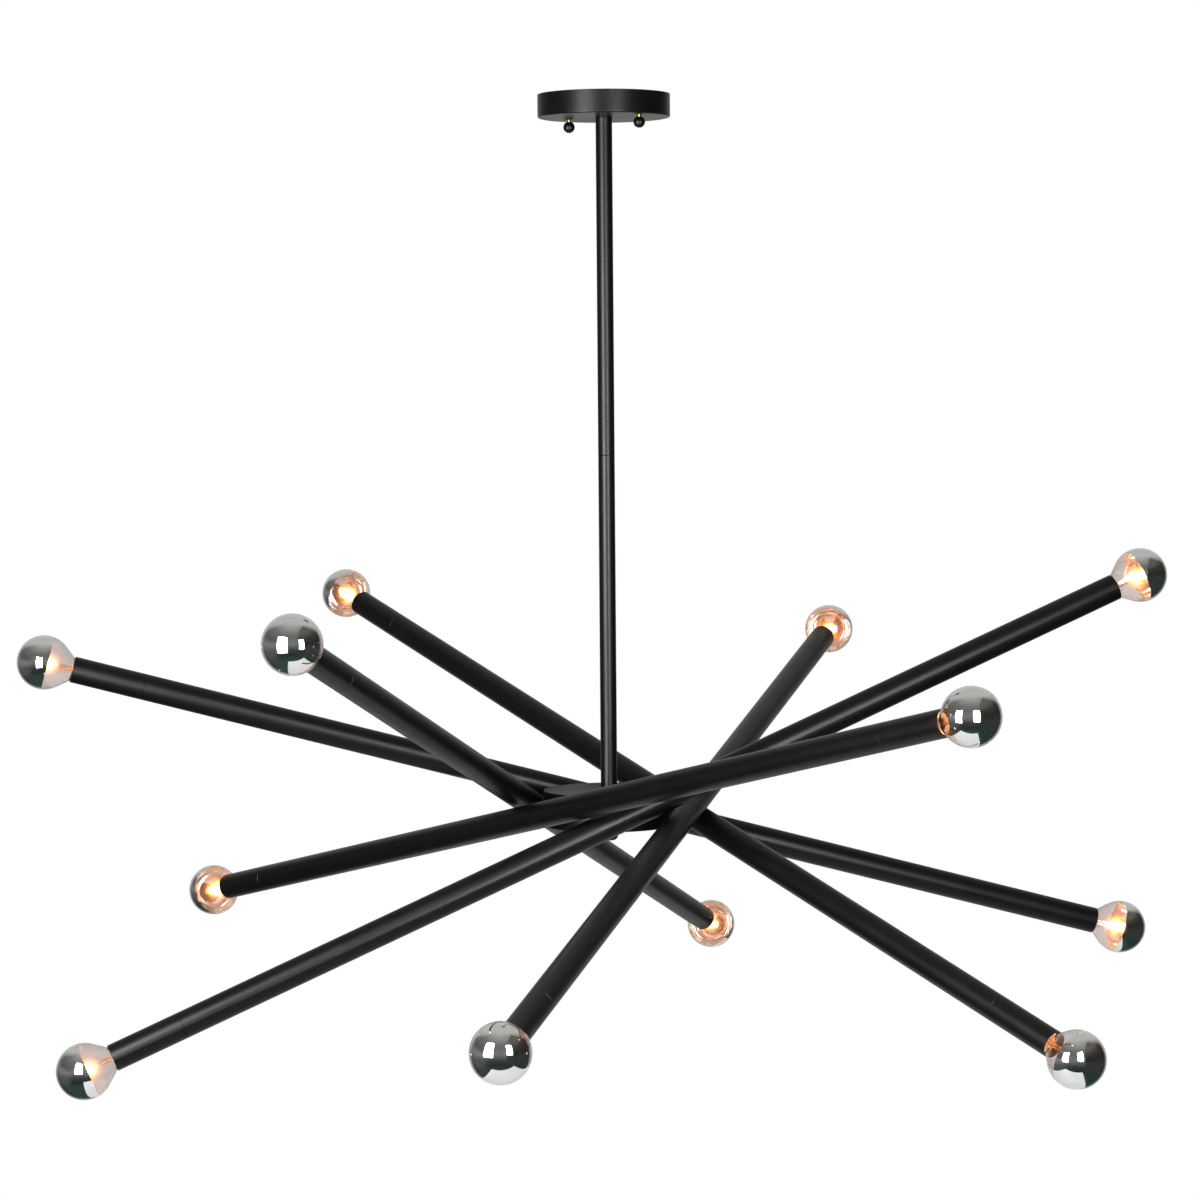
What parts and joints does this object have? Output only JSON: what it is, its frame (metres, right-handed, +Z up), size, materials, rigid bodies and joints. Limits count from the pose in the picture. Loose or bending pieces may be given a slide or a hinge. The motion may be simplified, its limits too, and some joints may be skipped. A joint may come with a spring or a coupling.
{
  "type": "ceiling light",
  "caption": "Black chandelier with a round canopy, a straight stem and long tilted tubular arms crossing round a drum hub, with half-mirrored globe lamps at the arm ends.",
  "frame": {"origin": "where the canopy's axis meets the ceiling, in the plane of the canopy rim and the mounting strap's top", "axes": "+Z up into the ceiling, +X along the mounting strap through the two canopy screws"},
  "size_m": [1.1312, 1.0996, 0.9302],
  "materials": {
    "black_paint": "satin black powder coat",
    "zinc_steel": "zinc-plated steel",
    "brass": "bare brass screw",
    "lamp_cap_brass": "pressed brass screw cap",
    "lamp_glass": "clear glass, mirrored over the half away from the cap",
    "socket_plastic": "moulded lampholder"
  },
  "bodies": {
    "fixture": {"mounting_strap": "zinc_steel", "canopy": "black_paint", "canopy_screws": "brass", "canopy_nipple": "zinc_steel", "stem_lock_nuts": "zinc_steel", "stem_upper_rod": "black_paint", "stem_coupling": "zinc_steel", "stem_lower_rod": "black_paint", "hub_shell": "black_paint", "hub_bottom_cover": "black_paint", "hub_nipple": "zinc_steel", "finial": "black_paint", "arm_collars": "black_paint", "arm_spring_washers": "zinc_steel", "arm_lock_nuts": "zinc_steel"},
    "ball_nut_left": {"ball_nut_left": "black_paint"},
    "ball_nut_right": {"ball_nut_right": "black_paint"},
    "arm_1": {"arm_1_tube": "black_paint", "arm_1_end_sleeves": "black_paint", "arm_1_sockets": "socket_plastic"},
    "lamp_1_upper": {"lamp_1_upper_globe": "lamp_glass", "lamp_1_upper_base": "lamp_cap_brass"},
    "lamp_1_lower": {"lamp_1_lower_globe": "lamp_glass", "lamp_1_lower_base": "lamp_cap_brass"},
    "arm_2": {"arm_2_tube": "black_paint", "arm_2_end_sleeves": "black_paint", "arm_2_sockets": "socket_plastic"},
    "lamp_2_upper": {"lamp_2_upper_globe": "lamp_glass", "lamp_2_upper_base": "lamp_cap_brass"},
    "lamp_2_lower": {"lamp_2_lower_globe": "lamp_glass", "lamp_2_lower_base": "lamp_cap_brass"},
    "arm_3": {"arm_3_tube": "black_paint", "arm_3_end_sleeves": "black_paint", "arm_3_sockets": "socket_plastic"},
    "lamp_3_upper": {"lamp_3_upper_globe": "lamp_glass", "lamp_3_upper_base": "lamp_cap_brass"},
    "lamp_3_lower": {"lamp_3_lower_globe": "lamp_glass", "lamp_3_lower_base": "lamp_cap_brass"},
    "arm_4": {"arm_4_tube": "black_paint", "arm_4_end_sleeves": "black_paint", "arm_4_sockets": "socket_plastic"},
    "lamp_4_upper": {"lamp_4_upper_globe": "lamp_glass", "lamp_4_upper_base": "lamp_cap_brass"},
    "lamp_4_lower": {"lamp_4_lower_globe": "lamp_glass", "lamp_4_lower_base": "lamp_cap_brass"},
    "arm_5": {"arm_5_tube": "black_paint", "arm_5_end_sleeves": "black_paint", "arm_5_sockets": "socket_plastic"},
    "lamp_5_upper": {"lamp_5_upper_globe": "lamp_glass", "lamp_5_upper_base": "lamp_cap_brass"},
    "lamp_5_lower": {"lamp_5_lower_globe": "lamp_glass", "lamp_5_lower_base": "lamp_cap_brass"},
    "arm_6": {"arm_6_tube": "black_paint", "arm_6_end_sleeves": "black_paint", "arm_6_sockets": "socket_plastic"},
    "lamp_6_upper": {"lamp_6_upper_globe": "lamp_glass", "lamp_6_upper_base": "lamp_cap_brass"},
    "lamp_6_lower": {"lamp_6_lower_globe": "lamp_glass", "lamp_6_lower_base": "lamp_cap_brass"}
  },
  "joints": [
    {"name": "ball_nut_left_travel", "type": "slide", "parent": "fixture", "child": "ball_nut_left", "axis": [0, 0, 1], "range_m": [-0.008, 0.0015]},
    {"name": "ball_nut_right_travel", "type": "slide", "parent": "fixture", "child": "ball_nut_right", "axis": [0, 0, 1], "range_m": [-0.008, 0.0015]},
    {"name": "arm_1_tilt", "type": "hinge", "parent": "fixture", "child": "arm_1", "pos_m": [0.05058, -0.03839, -0.6848], "axis": [0.7965, -0.6046, 0], "range_deg": [0, 20]},
    {"name": "lamp_1_upper_unscrew", "type": "slide", "parent": "arm_1", "child": "lamp_1_upper", "axis": [0.5557, 0.7321, 0.3939], "range_m": [0, 0.025]},
    {"name": "lamp_1_lower_unscrew", "type": "slide", "parent": "arm_1", "child": "lamp_1_lower", "axis": [-0.5557, -0.7321, -0.3939], "range_m": [0, 0.025]},
    {"name": "arm_2_tilt", "type": "hinge", "parent": "fixture", "child": "arm_2", "pos_m": [0.05854, 0.02461, -0.6848], "axis": [0.9219, 0.3875, 0], "range_deg": [0, 20]},
    {"name": "lamp_2_upper_unscrew", "type": "slide", "parent": "arm_2", "child": "lamp_2_upper", "axis": [-0.375, 0.8921, 0.2521], "range_m": [0, 0.025]},
    {"name": "lamp_2_lower_unscrew", "type": "slide", "parent": "arm_2", "child": "lamp_2_lower", "axis": [0.375, -0.8921, -0.2521], "range_m": [0, 0.025]},
    {"name": "arm_3_tilt", "type": "hinge", "parent": "fixture", "child": "arm_3", "pos_m": [0.00873, 0.0629, -0.6848], "axis": [0.1374, 0.9905, 0], "range_deg": [0, 20]},
    {"name": "lamp_3_upper_unscrew", "type": "slide", "parent": "arm_3", "child": "lamp_3_upper", "axis": [-0.9337, 0.1296, 0.3338], "range_m": [0, 0.025]},
    {"name": "lamp_3_lower_unscrew", "type": "slide", "parent": "arm_3", "child": "lamp_3_lower", "axis": [0.9337, -0.1296, -0.3338], "range_m": [0, 0.025]},
    {"name": "arm_4_tilt", "type": "hinge", "parent": "fixture", "child": "arm_4", "pos_m": [-0.04872, 0.04073, -0.6848], "axis": [-0.7672, 0.6414, 0], "range_deg": [0, 20]},
    {"name": "lamp_4_upper_unscrew", "type": "slide", "parent": "arm_4", "child": "lamp_4_upper", "axis": [-0.6193, -0.7407, 0.2605], "range_m": [0, 0.025]},
    {"name": "lamp_4_lower_unscrew", "type": "slide", "parent": "arm_4", "child": "lamp_4_lower", "axis": [0.6193, 0.7407, -0.2605], "range_m": [0, 0.025]},
    {"name": "arm_5_tilt", "type": "hinge", "parent": "fixture", "child": "arm_5", "pos_m": [-0.05975, -0.02151, -0.6848], "axis": [-0.9409, -0.3387, 0], "range_deg": [0, 20]},
    {"name": "lamp_5_upper_unscrew", "type": "slide", "parent": "arm_5", "child": "lamp_5_upper", "axis": [0.3183, -0.8841, 0.342], "range_m": [0, 0.025]},
    {"name": "lamp_5_lower_unscrew", "type": "slide", "parent": "arm_5", "child": "lamp_5_lower", "axis": [-0.3183, 0.8841, -0.342], "range_m": [0, 0.025]},
    {"name": "arm_6_tilt", "type": "hinge", "parent": "fixture", "child": "arm_6", "pos_m": [-0.00785, -0.06301, -0.6848], "axis": [-0.1236, -0.9923, 0], "range_deg": [0, 20]},
    {"name": "lamp_6_upper_unscrew", "type": "slide", "parent": "arm_6", "child": "lamp_6_upper", "axis": [0.9669, -0.1204, 0.225], "range_m": [0, 0.025]},
    {"name": "lamp_6_lower_unscrew", "type": "slide", "parent": "arm_6", "child": "lamp_6_lower", "axis": [-0.9669, 0.1204, -0.225], "range_m": [0, 0.025]}
  ]
}
